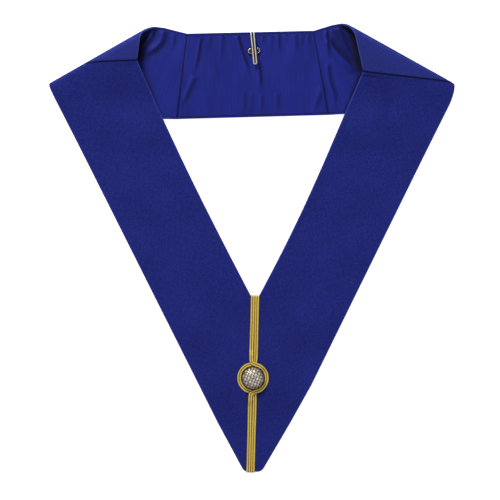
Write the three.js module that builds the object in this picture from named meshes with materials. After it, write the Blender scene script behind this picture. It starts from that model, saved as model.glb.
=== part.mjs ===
import * as THREE from "three";

// A lodge officer's collar lying on a surface, front panels up, folded over at the shoulders.
// Five cloth strips of one width are mitred together: back, two shoulders and two front panels.
// Millimetres: +X to the right as it lies, +Y towards the neck, +Z up, the surface at z = 0.

// Cloth
const stripWidth = 101.6;
const panelThickness = 2.4;
const outerThickness = 1.4;
const liningThickness = 1.0;
const hemWidth = 2.6;
const seamGap = 0.3;

// Plan
const backLength = 148;
const shoulderRun = 38;
const foldLength = 148;
const kneeDistance = 390;
const pointWidth = 24.2;
const pointRound = 4.5;
const pointEase = 0.35;

// Roll of the shoulder fold: its height and how far its curve reaches in from the fold
const rollHeightNeck = 21;
const rollHeightCorner = 11;
const rollReachNeck = 8;
const rollReachCorner = 5;
const lapClearance = 1.2;
const settleLength = 60;

// The neck edge turns above the fold, at a share of the cloth spare in the roll. The lower edge
// runs on past the back seam before it turns to the corner.
const tipUp = 0.15;
const lowerRun = 22;

// Where the front panel comes down from the roll, and where it lies on the strip under it, as
// shares of stripWidth in from the fold, at the neck and at the corner
const lapStart = { neck: 0.85, corner: 0.6 };
const lapEnd = { neck: 1.3, corner: 0.3 };

// How wide the flat strips of a cloth solid may be: in the bend, near it, beyond and in the lining
const bendStrip = 2.9;
const nearStrip = 11;
const farStrip = 34;
const liningStrip = 6.4;
const nearReach = 193;

// Braid
const braidWidth = 5;
const braidThickness = 1.6;
const braidRise = 9.5;
const braidEndInset = 0.6;
const ringRadius = 16.1;
const ringShare = 0.443;
const ringBend = 7;
const ringMeet = 1;
const crossingLength = 20;
const crossingRamp = 8;

// Button
const buttonDiameter = 26.2;
const buttonHeight = 8.4;

// Neck hook
const wireDiameter = 1.9;
const hookLength = 40;
const hookOverhang = 1;
const hookTurn = 5.6;
const hookOffset = 2;
const eyeletDiameter = 7.2;
const eyeletDistance = 23.2;
const armHeight = 4.3;
const armSpread = 1.3;
const armBow = 0.35;

// The two sides as they lie. Slopes and turns in degrees from the X axis, the rest as shares:
// rise of backLength, run of shoulderRun, fold, cut, ease and tip of foldLength, back, seamDeep and
// bow of stripWidth, and seamAlong and seamEnd of this side's own fold.
const sides = [
  {
    name: "left",
    mirror: -1,
    rise: -0.0115,
    neckSlope: 14.2,
    run: 1.07,
    foldSlope: 29.4,
    tip: 0.08,
    lowerSlope: 0.8,
    fold: 0.955,
    cut: 0.012,
    ease: 0.1,
    back: 0.985,
    backLean: 7.3,
    panelSlope: 63.4,
    kneeTurn: 0,
    seamAlong: 0.26,
    seamDeep: 0.275,
    seamEnd: 0.7,
    bow: 0.033,
    bowPeak: 0.45,
  },
  {
    name: "right",
    mirror: 1,
    rise: 0.0115,
    neckSlope: 17,
    run: 0.92,
    foldSlope: 28.9,
    tip: 0.057,
    lowerSlope: 3.5,
    fold: 1.048,
    cut: 0.042,
    ease: 0.2,
    back: 0.97,
    backLean: 10.4,
    panelSlope: 63.85,
    kneeTurn: 3.1,
    seamAlong: 0.318,
    seamDeep: 0.394,
    seamEnd: 1,
    bow: 0.04,
    bowPeak: 0.58,
  },
];

// Where the centre seam ends on the flat of the point, as a share of its width from the left.
const pointSeamShare = 0.4;

// Creases of the lining, raised. x is a share of half the backLength from the middle, y a share of
// stripWidth below the neck edge, and height and spread are shares of the liningThickness.
const creases = [
  { fromX: -0.76, fromY: 0.02, toX: -0.86, toY: 0.36, height: 1.3, spread: 4.6 },
  { fromX: -0.76, fromY: 0.55, toX: -1.06, toY: 0.86, height: 1.5, spread: 4.6 },
  { fromX: 1.2, fromY: 0.0, toX: 1.26, toY: 0.27, height: 2.2, spread: 4.2 },
  { fromX: 1.23, fromY: 0.42, toX: 1.37, toY: 0.87, height: 1.6, spread: 4.6 },
  { fromX: 0.14, fromY: 0.44, toX: 0.18, toY: 0.6, height: 1.2, spread: 4.2 },
  { fromX: 0.42, fromY: 0.0, toX: 0.44, toY: 0.2, height: 1.0, spread: 4.0 },
];

// Soft dents across the front panels, below the fold. along is a share of the side's fold from the
// neck, deep a share of stripWidth from the fold, turn in degrees from the fold, and the last
// three are shares of stripWidth.
const dents = [
  { side: "left", along: 0.7, deep: 0.47, turn: 66, length: 0.17, width: 0.06, depth: 0.012 },
  { side: "right", along: 0.62, deep: 0.6, turn: 60, length: 0.15, width: 0.06, depth: 0.013 },
];

// Section of one flat braid of two cords: across is a share of its width from the middle, up a
// share of its thickness.
const braidSection = [
  { across: -0.42, up: 0 },
  { across: 0.42, up: 0 },
  { across: 0.5, up: 0.4 },
  { across: 0.4, up: 0.92 },
  { across: 0.22, up: 1 },
  { across: 0, up: 0.6 },
  { across: -0.22, up: 1 },
  { across: -0.4, up: 0.92 },
  { across: -0.5, up: 0.4 },
];

// Profile of the button from its foot to its rim, as shares of its radius and its height.
const buttonFoot = [
  { out: 0.72, up: 0 },
  { out: 0.92, up: 0.06 },
  { out: 1, up: 0.24 },
];

const stackThickness = outerThickness + seamGap + liningThickness;

const radians = THREE.MathUtils.degToRad;
const smooth = (value, from, to) => THREE.MathUtils.smoothstep(value, from, to);
const mix = THREE.MathUtils.lerp;

function step(point, degrees, length) {
  const turn = radians(degrees);
  return new THREE.Vector2(
    point.x + length * Math.cos(turn),
    point.y + length * Math.sin(turn),
  );
}

function crossing(a, b, c, d) {
  const ab = b.clone().sub(a);
  const cd = d.clone().sub(c);
  const share = c.clone().sub(a).cross(cd) / ab.cross(cd);
  return a.clone().addScaledVector(ab, share);
}

// The plan of one side, in a frame whose X points outward from the middle of the back.
function planOf(row) {
  const backTop = new THREE.Vector2(backLength / 2, row.rise * backLength);
  const drop = (stripWidth * row.back) / Math.cos(radians(row.backLean));
  const backBottom = step(backTop, row.backLean - 90, drop);
  const lowerBend = step(backBottom, row.lowerSlope, lowerRun);
  const foldNeck = step(backTop, row.neckSlope, shoulderRun * row.run);
  const foldCorner = step(foldNeck, -row.foldSlope, foldLength * row.fold);
  const knee = step(foldCorner, 180 + row.panelSlope, kneeDistance);
  const innerStart = step(foldCorner, 90 + row.panelSlope, stripWidth);
  const innerEnd = step(innerStart, 180 + row.panelSlope, kneeDistance);
  const lower = step(knee, 180 + row.panelSlope - row.kneeTurn, stripWidth);
  const seamStart = step(
    step(foldNeck, -row.foldSlope, foldLength * row.fold * row.seamAlong),
    -row.foldSlope - 90,
    stripWidth * row.seamDeep,
  );
  return {
    backTop,
    backBottom,
    lowerBend,
    foldNeck,
    foldCorner,
    knee,
    innerStart,
    innerEnd,
    lower,
    seamStart,
  };
}

const across = (point, mirror) => new THREE.Vector2(point.x * mirror, point.y);

// The notch, where the inner edges of the front panels would meet, and the flat of the point.
function centreOf([left, right]) {
  const notch = crossing(
    across(left.innerStart, -1),
    across(left.innerEnd, -1),
    right.innerStart,
    right.innerEnd,
  );
  const spread = (y) =>
    [left, right].map(
      (plan) => crossing(plan.knee, plan.lower, new THREE.Vector2(0, y), new THREE.Vector2(1, y)).x,
    );
  const width = (y) => spread(y)[0] + spread(y)[1];
  const start = left.knee.y;
  const slope = width(start) - width(start - 1);
  const pointY = start - (width(start) - pointWidth) / slope;
  const [leftX, rightX] = spread(pointY);
  const pointLeft = new THREE.Vector2(-leftX, pointY);
  const pointRight = new THREE.Vector2(rightX, pointY);
  const seamEnd = pointLeft.clone().lerp(pointRight, pointSeamShare);
  return { notch, pointLeft, pointRight, seamEnd };
}

// The roll of one side. s runs along the fold from the neck, u is the cloth's own distance from
// the fold line: below the fold it is positive, above it negative.
function rollOf(row, plan) {
  const length = foldLength * row.fold;
  const turn = radians(-row.foldSlope);
  const along = new THREE.Vector2(Math.cos(turn), Math.sin(turn));
  const inward = new THREE.Vector2(Math.sin(turn), -Math.cos(turn));
  const quarter = (reach, height) => (Math.PI / 2) * Math.sqrt((reach ** 2 + height ** 2) / 2);
  const spareNeck = quarter(rollReachNeck, rollHeightNeck / 2) - rollReachNeck;
  const spareCorner = quarter(rollReachCorner, rollHeightCorner / 2) - rollReachCorner;
  const reach = (s) => mix(rollReachNeck, rollReachCorner, s / length);
  const height = (s) => mix(rollHeightNeck, rollHeightCorner, s / length);
  const spare = (s) => mix(spareNeck, spareCorner, s / length);
  const dented = dents.filter((dent) => dent.side === row.name);

  // Height of the top face of what lies above the fold, at a distance in from the fold line.
  function upperHeight(s, distance) {
    const share = THREE.MathUtils.clamp(s / length, 0, 1);
    const lap = stackThickness + lapClearance + panelThickness;
    const start = stripWidth * mix(lapStart.neck, lapStart.corner, share);
    const end = stripWidth * mix(lapEnd.neck, lapEnd.corner, share);
    const fromRoll = (height(s) - lap) * (1 - smooth(distance, reach(s), start));
    const fromLap = (lap - panelThickness) * (1 - smooth(distance, end, end + settleLength));
    return panelThickness + fromLap + fromRoll;
  }

  function dentDepth(s, distance) {
    return dented.reduce((sum, dent) => {
      const away = new THREE.Vector2(s - dent.along * length, distance - dent.deep * stripWidth);
      away.rotateAround(new THREE.Vector2(), radians(-dent.turn));
      const far = Math.hypot(
        away.x / (dent.length * stripWidth),
        away.y / (dent.width * stripWidth),
      );
      return sum + dent.depth * stripWidth * Math.exp(-(far ** 2));
    }, 0);
  }

  // The outer face of the cloth.
  function surface(s, u) {
    const quarterLength = reach(s) + spare(s);
    let distance = reach(s) + Math.abs(u) - quarterLength;
    let z = u > 0 ? 0 : upperHeight(s, distance) - dentDepth(s, distance);
    if (Math.abs(u) < quarterLength) {
      const turned = ((Math.PI / 2) * u) / quarterLength;
      distance = reach(s) * (1 - Math.cos(turned));
      z = (height(s) / 2) * (1 - Math.sin(turned));
    }
    const place = plan.foldNeck
      .clone()
      .addScaledVector(along, s)
      .addScaledVector(inward, distance);
    return new THREE.Vector3(place.x * row.mirror, place.y, z);
  }

  // A point of the plan on the layer above (-1) or below (1) the fold, as s and u.
  function unfold(point, layer) {
    const from = point.clone().sub(plan.foldNeck);
    const s = from.dot(along);
    return new THREE.Vector2(s, layer * (from.dot(inward) + spare(s)));
  }
  const bendEdge = reach(0) + spare(0);
  return { length, surface, unfold, spare, bendEdge };
}

// Moves each edge of an outline inwards by its own margin. Edge i runs from corner i to the next.
function inset(corners, margins) {
  const count = corners.length;
  const area = corners.reduce((sum, p, i) => sum + p.cross(corners[(i + 1) % count]), 0);
  const lines = corners.map((p, i) => {
    const q = corners[(i + 1) % count];
    const normal = new THREE.Vector2(p.y - q.y, q.x - p.x).normalize();
    normal.multiplyScalar(margins[i] * Math.sign(area));
    return [p.clone().add(normal), q.clone().add(normal)];
  });
  return corners.map((p, i) => {
    const before = (i + count - 1) % count;
    if (margins[before] === 0 && margins[i] === 0) return p.clone();
    return crossing(...lines[before], ...lines[i]);
  });
}

// The lowest and highest s of an outline at one u.
function cutAt(outline, u) {
  const found = [];
  outline.forEach((p, i) => {
    const q = outline[(i + 1) % outline.length];
    const low = Math.min(p.y, q.y);
    const high = Math.max(p.y, q.y);
    if (u < low || u > high) return;
    if (high === low) found.push(p.x, q.x);
    else found.push(mix(p.x, q.x, (u - p.y) / (q.y - p.y)));
  });
  return [Math.min(...found), Math.max(...found)];
}

// Where a sheet is cut: at each corner of its outline, then at the wanted places that are clear
// of those, then so that no strip is wider than the widest.
function stationsOf(corners, wanted, widest) {
  const least = 1.5;
  const low = Math.min(...corners);
  const high = Math.max(...corners);
  const kept = [low, high];
  const clear = (u) => u > low && u < high && kept.every((v) => Math.abs(u - v) > least);
  [...corners, ...wanted].forEach((u) => {
    if (clear(u)) kept.push(u);
  });
  kept.sort((p, q) => p - q);
  const stations = [low];
  kept.slice(1).forEach((u, i) => {
    const from = kept[i];
    const parts = Math.ceil((u - from) / widest(from, u) - 1e-6);
    for (let part = 1; part <= parts; part += 1) stations.push(mix(from, u, part / parts));
  });
  return stations;
}

// A closed solid from a grid of rows of points: its outer and inner faces and its four edges.
function closedSheet(outer, inner) {
  const rows = outer.length;
  const columns = outer[0].length;
  const positions = [];
  const same = (p, q) => p.distanceToSquared(q) < 1e-8;
  const triangle = (p, q, r) => {
    if (same(p, q) || same(q, r) || same(r, p)) return;
    positions.push(...p.toArray(), ...q.toArray(), ...r.toArray());
  };
  const quad = (p, q, r, t) => {
    triangle(p, q, r);
    triangle(p, r, t);
  };
  for (let i = 0; i < rows - 1; i += 1) {
    for (let j = 0; j < columns - 1; j += 1) {
      quad(outer[i][j], outer[i][j + 1], outer[i + 1][j + 1], outer[i + 1][j]);
      quad(inner[i][j], inner[i + 1][j], inner[i + 1][j + 1], inner[i][j + 1]);
    }
    const last = columns - 1;
    quad(outer[i][0], outer[i + 1][0], inner[i + 1][0], inner[i][0]);
    quad(outer[i][last], inner[i][last], inner[i + 1][last], outer[i + 1][last]);
  }
  for (let j = 0; j < columns - 1; j += 1) {
    const end = rows - 1;
    quad(outer[0][j], inner[0][j], inner[0][j + 1], outer[0][j + 1]);
    quad(outer[end][j], outer[end][j + 1], inner[end][j + 1], inner[end][j]);
  }
  return facesOut(positions);
}

function facesOut(positions) {
  let volume = 0;
  const corner = (i) => new THREE.Vector3().fromArray(positions, i);
  for (let i = 0; i < positions.length; i += 9) {
    volume += corner(i).dot(corner(i + 3).cross(corner(i + 6)));
  }
  if (volume < 0) {
    for (let i = 0; i < positions.length; i += 9) {
      const second = positions.slice(i + 3, i + 6);
      positions.splice(i + 3, 6, ...positions.slice(i + 6, i + 9), ...second);
    }
  }
  const geometry = new THREE.BufferGeometry();
  geometry.setAttribute("position", new THREE.Float32BufferAttribute(positions, 3));
  geometry.computeVertexNormals();
  return geometry;
}

// Cloth between two depths under a surface, cut to an outline of s and u.
function clothGeometry({ surface, outline, stations, columns, inwardSign, from, to, lift }) {
  const reachOut = 0.4;
  const faces = stations.map((u) => {
    const [low, high] = cutAt(outline, u);
    return Array.from({ length: columns + 1 }, (_, j) => {
      const s = mix(low, high, j / columns);
      const point = surface(s, u);
      const alongS = surface(s + reachOut, u).sub(surface(s - reachOut, u));
      const alongU = surface(s, u + reachOut).sub(surface(s, u - reachOut));
      const inward = alongS.cross(alongU).normalize().multiplyScalar(inwardSign);
      const raised = new THREE.Vector3(0, 0, lift ? lift(point, u) : 0);
      return [from, to].map((depth) => point.clone().addScaledVector(inward, depth).add(raised));
    });
  });
  const outer = faces.map((row) => row.map(([face]) => face));
  const inner = faces.map((row) => row.map(([, face]) => face));
  return closedSheet(outer, inner);
}

function creaseHeight(x, y) {
  return creases.reduce((sum, crease) => {
    const half = backLength / 2;
    const from = new THREE.Vector2(crease.fromX * half, -crease.fromY * stripWidth);
    const to = new THREE.Vector2(crease.toX * half, -crease.toY * stripWidth);
    const along = to.clone().sub(from);
    const away = new THREE.Vector2(x, y).sub(from);
    const share = THREE.MathUtils.clamp(away.dot(along) / along.lengthSq(), 0, 1);
    const far = away.addScaledVector(along, -share).length() / (crease.spread * liningThickness);
    return Math.max(sum, crease.height * liningThickness * Math.exp(-(far ** 2)));
  }, 0);
}

// The outer edge of the cloth round the corner of the fold, rounded off where it folds.
function outerEdgeOf(row, plan, roll) {
  const ease = row.ease * foldLength;
  const corner = roll.unfold(plan.foldCorner, -1);
  const knee = roll.unfold(plan.knee, -1);
  const slope = (knee.x - corner.x) / (knee.y - corner.y);
  const shares = [1, 0.7, 0.4, 0.15, -0.15, -0.4, -0.7, -1];
  const under = shares[0] + stripWidth / ease;
  return [under, ...shares].map((share) => {
    const cut = row.cut * foldLength * Math.max(0, 1 - Math.abs(share)) ** 2;
    return new THREE.Vector2(roll.length + slope * share * ease - cut, share * ease);
  });
}

// The outlines of one side's pieces, as corners of s and u.
function outlinesOf(row, plan, roll, centre) {
  const seamStart = roll.unfold(plan.seamStart, -1);
  const seamFold = new THREE.Vector2(roll.length * row.seamEnd, 0);
  const edge = outerEdgeOf(row, plan, roll);
  const meets = edge.slice(1).map((p, i) => crossing(seamStart, seamFold, edge[i], p));
  const seamCorner = meets.find((meet, i) => meet.y <= edge[i].y && meet.y >= edge[i + 1].y);
  const tip = new THREE.Vector2(row.tip * foldLength, -tipUp * roll.spare(0));
  const under = [plan.foldNeck, plan.backTop, plan.backBottom, plan.lowerBend];
  const shoulder = [seamStart, tip, ...under.map((p) => roll.unfold(p, 1)), seamCorner];
  const half = seamGap / 2;

  const own = (point) => roll.unfold(across(point, row.mirror), -1);
  const eased = edge.filter((p) => p.y < seamCorner.y - half);
  const point = own(row.mirror < 0 ? centre.pointLeft : centre.pointRight);
  const knee = roll.unfold(plan.knee, -1);
  const seamEnd = own(centre.seamEnd);
  const pointStart = point.clone().lerp(knee, pointRound / point.distanceTo(knee));
  const pointFlat = point.clone().lerp(seamEnd, pointRound / point.distanceTo(seamEnd));
  const roundEnd = [pointStart, pointFlat].map((p) => p.lerp(point, pointEase));
  const straight = [seamStart, seamCorner, ...eased, knee, ...roundEnd, seamEnd, own(centre.notch)];
  const edges = straight.length;
  const panel = inset(
    straight,
    straight.map((_, i) => (i === 0 || i === edges - 2 ? half : 0)),
  );
  const [first, last] = [panel[0], panel[edges - 1]];
  const skew = Math.log(0.5) / Math.log(row.bowPeak);
  const bowSteps = 9;
  for (let i = bowSteps - 1; i > 0; i -= 1) {
    const share = i / bowSteps;
    const bowed = first.clone().lerp(last, share);
    bowed.x += row.bow * stripWidth * Math.sin(Math.PI * share ** skew);
    panel.push(bowed);
  }
  return {
    panel,
    shoulder: inset(shoulder, [0, 0, 0, half, 0, 0, half]),
    lining: inset(shoulder, [hemWidth, hemWidth, hemWidth, half, hemWidth, hemWidth, half]),
  };
}

function cloth(colour, roughness) {
  return new THREE.MeshStandardMaterial({ color: colour, roughness, metalness: 0 });
}

const faceCloth = cloth(0x21266f, 0.9);
const liningCloth = cloth(0x232a7c, 0.7);
const goldBraid = new THREE.MeshStandardMaterial({ color: 0xbfa447, roughness: 0.45, metalness: 0.7 });
const silverThread = new THREE.MeshStandardMaterial({ color: 0xc8beaf, roughness: 0.4, metalness: 0.8 });
const steelWire = new THREE.MeshStandardMaterial({ color: 0xc2b49a, roughness: 0.3, metalness: 0.95 });

function named(name, geometry, material) {
  const mesh = new THREE.Mesh(geometry, material);
  mesh.name = name;
  return mesh;
}

function sidePieces(row, plan, centre) {
  const roll = rollOf(row, plan);
  const outlines = outlinesOf(row, plan, roll, centre);
  const widest = (from, to) => {
    const middle = (from + to) / 2;
    if (Math.abs(middle) < roll.bendEdge) return bendStrip;
    return Math.abs(middle) < nearReach ? nearStrip : farStrip;
  };
  const wanted = [-nearReach, -roll.bendEdge, 0, roll.bendEdge];
  const inwardSign = -row.mirror;
  const piece = (name, outline, columns, from, to, material, lift) =>
    named(
      `${name}_${row.name}`,
      clothGeometry({
        surface: roll.surface,
        outline,
        stations: stationsOf(outline.map((p) => p.y), wanted, widest),
        columns,
        inwardSign,
        from,
        to,
        lift,
      }),
      material,
    );
  const liningLift = (place, u) =>
    creaseHeight(place.x, place.y) * smooth(u, 0, roll.bendEdge);
  return [
    piece("front_panel", outlines.panel, 8, 0, panelThickness, faceCloth),
    piece("shoulder_piece", outlines.shoulder, 8, 0, outerThickness, faceCloth),
    piece(
      "lining_shoulder",
      outlines.lining,
      10,
      outerThickness + seamGap,
      stackThickness,
      liningCloth,
      liningLift,
    ),
  ];
}

// The strip behind the neck and its lining, cut across from the left seam to the right one.
function backPieces(plans) {
  const corners = [
    across(plans[0].backTop, -1),
    across(plans[0].backBottom, -1),
    plans[1].backBottom,
    plans[1].backTop,
  ].map((p) => new THREE.Vector2(p.y, p.x));
  const half = seamGap / 2;
  const flat = (s, u) => new THREE.Vector3(u, s, 0);
  const sheet = (outline, strip, columns, from, to, lift) =>
    clothGeometry({
      surface: flat,
      outline,
      stations: stationsOf(outline.map((p) => p.y), [], () => strip),
      columns,
      inwardSign: -1,
      from,
      to,
      lift,
    });
  const outer = inset(corners, [half, 0, half, 0]);
  const lining = inset(corners, [half, hemWidth, half, hemWidth]);
  return [
    named("back_neck_piece", sheet(outer, farStrip, 2, 0, outerThickness), faceCloth),
    named(
      "lining_back",
      sheet(lining, liningStrip, 8, outerThickness + seamGap, stackThickness, (place) =>
        creaseHeight(place.x, place.y),
      ),
      liningCloth,
    ),
  ];
}

// A solid swept through rings of points, with flat ends.
function sweptSolid(rings, section) {
  const count = section.length;
  const positions = [];
  const triangle = (p, q, r) => positions.push(...p.toArray(), ...q.toArray(), ...r.toArray());
  rings.slice(1).forEach((ring, i) => {
    for (let j = 0; j < count; j += 1) {
      const k = (j + 1) % count;
      triangle(rings[i][j], rings[i][k], ring[k]);
      triangle(rings[i][j], ring[k], ring[j]);
    }
  });
  const end = rings[rings.length - 1];
  THREE.ShapeUtils.triangulateShape(section, []).forEach(([a, b, c]) => {
    triangle(rings[0][c], rings[0][b], rings[0][a]);
    triangle(end[a], end[b], end[c]);
  });
  return facesOut(positions);
}

// The plan of the braid that starts on the left, from the notch down, about the button's middle.
// The other braid is its mirror image.
function braidRoute(topRun, bottomRun) {
  const lane = (braidWidth + seamGap) / 2;
  const bend = ringRadius + ringBend;
  const crossingAt = ringRadius + ringMeet;
  const turns = [60, 36, 12, -12, -36, -60].map(radians);
  return [
    [-lane, topRun],
    [-lane, mix(bend, topRun, 0.5)],
    [-lane, bend],
    [0, crossingAt],
    ...turns.map((turn) => [ringRadius * Math.cos(turn), ringRadius * Math.sin(turn)]),
    [0, -crossingAt],
    [-lane, -bend],
    [-lane, -mix(bend, bottomRun, 0.5)],
    [-lane, -bottomRun],
  ];
}

// The braid that starts on the left passes over the other one at both crossings.
function braidPiece(name, side, ringCentre, centre) {
  const steps = 62;
  const lean = Math.atan2(centre.notch.x - centre.seamEnd.x, centre.notch.y - centre.seamEnd.y);
  const topRun = (centre.notch.y + braidRise - ringCentre.y) / Math.cos(lean);
  const bottomRun = (ringCentre.y - centre.seamEnd.y - braidEndInset) / Math.cos(lean);
  const route = braidRoute(topRun, bottomRun).map(([x, y]) => new THREE.Vector3(x * side, y, 0));
  const points = new THREE.CatmullRomCurve3(route, false, "centripetal").getSpacedPoints(steps);
  const stepLength = points[0].distanceTo(points[1]);
  const crossings = points.flatMap((p, i) => (i && p.x * points[i - 1].x <= 0 ? [i - 0.5] : []));
  const section = braidSection.map(
    ({ across: share, up }) => new THREE.Vector2(share * braidWidth, up * braidThickness),
  );
  const rings = points.map((p, i) => {
    const far = Math.min(...crossings.map((at) => Math.abs(i - at))) * stepLength;
    const over = side > 0 ? 1 - smooth(far, crossingLength / 2, crossingLength / 2 + crossingRamp) : 0;
    const base = panelThickness + seamGap + over * (braidThickness + seamGap);
    const ahead = points[Math.min(steps, i + 1)].clone().sub(points[Math.max(0, i - 1)]).normalize();
    return section.map(({ x, y }) => {
      const place = new THREE.Vector3(p.x - ahead.y * x, p.y + ahead.x * x, base + y);
      place.applyAxisAngle(new THREE.Vector3(0, 0, 1), -lean);
      return place.add(new THREE.Vector3(ringCentre.x, ringCentre.y, 0));
    });
  });
  return named(name, sweptSolid(rings, section), goldBraid);
}

function buttonPiece(ringCentre) {
  const radius = buttonDiameter / 2;
  const rim = buttonFoot[buttonFoot.length - 1].up * buttonHeight;
  const rows = 6;
  const profile = [new THREE.Vector2(0, 0)];
  buttonFoot.forEach(({ out, up }) => {
    profile.push(new THREE.Vector2(out * radius, up * buttonHeight));
  });
  for (let row = 1; row <= rows; row += 1) {
    const turn = ((Math.PI / 2) * row) / rows;
    const out = row === rows ? 0 : radius * Math.cos(turn);
    profile.push(new THREE.Vector2(out, rim + (buttonHeight - rim) * Math.sin(turn)));
  }
  const geometry = new THREE.LatheGeometry(profile, 24);
  geometry.rotateX(Math.PI / 2);
  const button = named("button", geometry, silverThread);
  button.position.set(ringCentre.x, ringCentre.y, panelThickness + seamGap);
  return button;
}

// Half of the hook's wire: an eyelet, up along the lining, over at the neck edge and down to the
// tip. The origin is the hook's top, on the middle line of the wire that lies on the lining.
function hookHalf() {
  const radius = wireDiameter / 2;
  const stemX = (wireDiameter + seamGap) / 2;
  const armX = armSpread * stemX;
  const eyeRadius = (eyeletDiameter - wireDiameter) / 2;
  const bendRadius = armHeight / 2;
  const bendY = -radius - bendRadius;
  const tipY = -hookLength + radius + armX;
  const points = [];
  for (let degrees = 445; degrees >= 185; degrees -= 26) {
    const turn = radians(degrees);
    points.push([
      stemX + eyeRadius * (1 + Math.cos(turn)),
      -eyeletDistance + eyeRadius * Math.sin(turn),
      0,
    ]);
  }
  points.push([stemX, mix(-eyeletDistance, bendY, 0.4), 0]);
  for (let degrees = -90; degrees <= 90; degrees += 30) {
    const turn = radians(degrees);
    points.push([
      mix(stemX, armX, (degrees + 90) / 180),
      bendY + bendRadius * Math.cos(turn),
      bendRadius * (1 + Math.sin(turn)),
    ]);
  }
  points.push([armX, mix(bendY, tipY, 0.4), armHeight + armBow], [armX, tipY, armHeight - armBow]);
  [30, 60, 90].map(radians).forEach((turn) => {
    points.push([armX * Math.cos(turn), tipY - armX * Math.sin(turn), armHeight - armBow]);
  });
  return points;
}

function hookPiece([left, right]) {
  const half = hookHalf();
  const other = half.slice(0, -1).reverse();
  const route = [...half, ...other.map(([x, y, z]) => [-x, y, z])];
  const wire = new THREE.Shape(
    Array.from({ length: 6 }, (_, side) => {
      const turn = radians(60 * side);
      return new THREE.Vector2(Math.cos(turn), Math.sin(turn)).multiplyScalar(wireDiameter / 2);
    }),
  );
  const path = new THREE.CatmullRomCurve3(
    route.map((p) => new THREE.Vector3(...p)),
    false,
    "centripetal",
  );
  const geometry = new THREE.ExtrudeGeometry(wire, { steps: 92, extrudePath: path });
  const hook = named("neck_hook", geometry, steelWire);
  const neckY = (left.backTop.y + right.backTop.y) / 2;
  hook.position.set(
    hookOffset,
    neckY + hookOverhang,
    stackThickness + seamGap + wireDiameter / 2,
  );
  hook.rotation.z = radians(hookTurn);
  return hook;
}

const plans = sides.map(planOf);
const centre = centreOf(plans);
// The button sits in the middle of the ring, a share of the way from the notch to the point.
const ringCentre = centre.notch.clone().lerp(centre.seamEnd, ringShare);

const collar = new THREE.Group();
sides.forEach((row, i) => collar.add(...sidePieces(row, plans[i], centre)));
collar.add(...backPieces(plans));
collar.add(braidPiece("braid_left", 1, ringCentre, centre));
collar.add(braidPiece("braid_right", -1, ringCentre, centre));
collar.add(buttonPiece(ringCentre));
collar.add(hookPiece(plans));

// The origin is the middle of the collar's outline, on the surface it lies on.
const box = new THREE.Box3().setFromObject(collar);
const middle = box.getCenter(new THREE.Vector3());
collar.position.set(-middle.x, -middle.y, -box.min.z);

export default collar;
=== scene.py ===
import cmath
import math

import bmesh
import bpy
import numpy as np
from mathutils import Matrix, Vector, geometry


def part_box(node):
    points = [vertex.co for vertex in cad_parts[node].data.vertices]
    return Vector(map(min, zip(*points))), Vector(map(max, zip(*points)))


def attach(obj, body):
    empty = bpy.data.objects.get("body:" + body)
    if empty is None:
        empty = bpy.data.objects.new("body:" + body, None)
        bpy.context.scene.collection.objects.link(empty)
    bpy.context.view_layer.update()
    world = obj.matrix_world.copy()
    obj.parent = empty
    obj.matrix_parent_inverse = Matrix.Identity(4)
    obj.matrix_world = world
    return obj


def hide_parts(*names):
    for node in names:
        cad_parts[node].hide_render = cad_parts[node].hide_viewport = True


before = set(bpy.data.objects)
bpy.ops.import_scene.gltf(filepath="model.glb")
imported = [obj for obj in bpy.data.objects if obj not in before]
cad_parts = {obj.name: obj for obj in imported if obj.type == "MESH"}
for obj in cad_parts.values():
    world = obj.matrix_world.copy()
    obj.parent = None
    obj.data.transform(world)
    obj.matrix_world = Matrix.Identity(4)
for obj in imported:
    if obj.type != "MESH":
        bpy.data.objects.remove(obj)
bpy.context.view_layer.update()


# The cutting pattern: five strips of one width, mitred at the back and at both shoulders, then
# folded over at the shoulders so that the front panels lie on top. Millimetres, with a plan
# point held as one complex number: X to the right as it lies, Y towards the neck.
STRIP = 101.6
BACK = 148
SHOULDER_RUN = 38
FOLD = 148
KNEE = 390
POINT_WIDTH = 24.2
POINT_ROUND = 5.5
POINT_SEAM = 0.4
POINT_BEND = 0.45
PANEL = 2.4
OUTER = 1.4
LINING = 1.0
GAP = 0.3
SEAM = 0.01
LINING_SHIFT = 0.5
HEM = 2.6
STACK = OUTER + GAP + LINING
ROLL_HEIGHT = (21, 11)
ROLL_REACH = (8, 5)
LAP_CLEARANCE = 1.2
LAP_START = (0.85, 0.6)
LAP_END = (1.3, 0.3)
SETTLE = 60
TIP_UP = 0.15
LOWER_RUN = 22
BOW_POINTS = 28
ROLL_PITCH = 1.1
# What differs between the sides: slopes, leans and turns in degrees, point_in in millimetres, and
# the rest as shares of the lengths above.
SIDES = [
    dict(name="left", mirror=-1, rise=-0.0115, neck_slope=14.2, run=1.07, fold_slope=29.4,
         fold=0.955, tip=0.08, lower_slope=0.8, cut=0.012, ease=0.1, back=0.985, back_lean=7.3,
         panel_slope=63.4, knee_turn=0, seam_along=0.26, seam_deep=0.275, seam_end=0.7,
         bow=0.033, bow_peak=0.45, point_in=2.2),
    dict(name="right", mirror=1, rise=0.0115, neck_slope=17, run=0.92, fold_slope=28.9,
         fold=1.048, tip=0.057, lower_slope=3.5, cut=0.042, ease=0.2, back=0.97, back_lean=10.4,
         panel_slope=63.85, knee_turn=3.1, seam_along=0.318, seam_deep=0.394, seam_end=1,
         bow=0.04, bow_peak=0.58, point_in=1.5),
]
# Soft dents across the front panels: along the fold from the neck and in from it, their turn from
# the fold, then length, width and depth, as shares of the fold and of the strip.
DENTS = [
    dict(side="left", along=0.7, deep=0.47, turn=66, length=0.17, width=0.06, depth=0.012),
    dict(side="right", along=0.62, deep=0.6, turn=60, length=0.15, width=0.06, depth=0.013),
]


def heading(degrees):
    return cmath.exp(1j * math.radians(degrees))


def step(point, degrees, length):
    return point + length * heading(degrees)


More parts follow.
